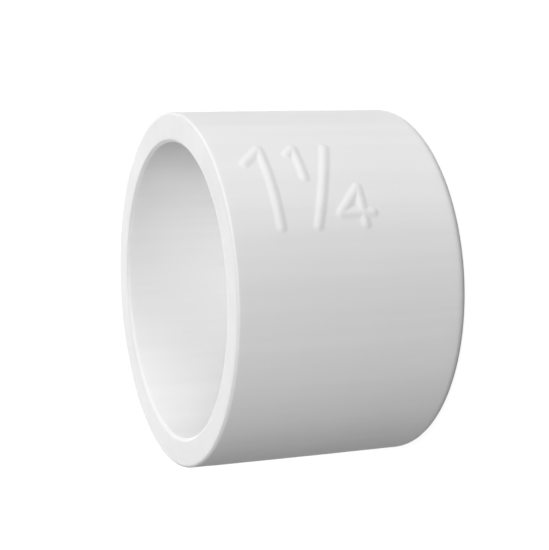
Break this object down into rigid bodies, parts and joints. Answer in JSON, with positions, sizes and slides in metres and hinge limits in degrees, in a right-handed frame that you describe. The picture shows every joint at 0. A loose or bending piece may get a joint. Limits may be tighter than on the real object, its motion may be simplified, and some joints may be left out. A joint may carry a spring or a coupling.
{
  "type": "slip pipe cap",
  "caption": "Round slip-on cap that closes the end of a plastic pressure pipe: a glue socket with an inner stop ledge and a thick flat closed end.",
  "frame": {"origin": "centre of the closed end's outer face, on the cap's axis", "axes": "+Z along the cap's axis, from the closed end out through the mouth; the raised size number lies 58 degrees from +X towards -Y, and reads with +Z to the left"},
  "size_m": [0.0508, 0.0508, 0.034],
  "materials": {
    "white_plastic": "white rigid PVC, injection-moulded, semi-gloss"
  },
  "bodies": {
    "root": {"cap_body": "white_plastic"}
  },
  "joints": []
}
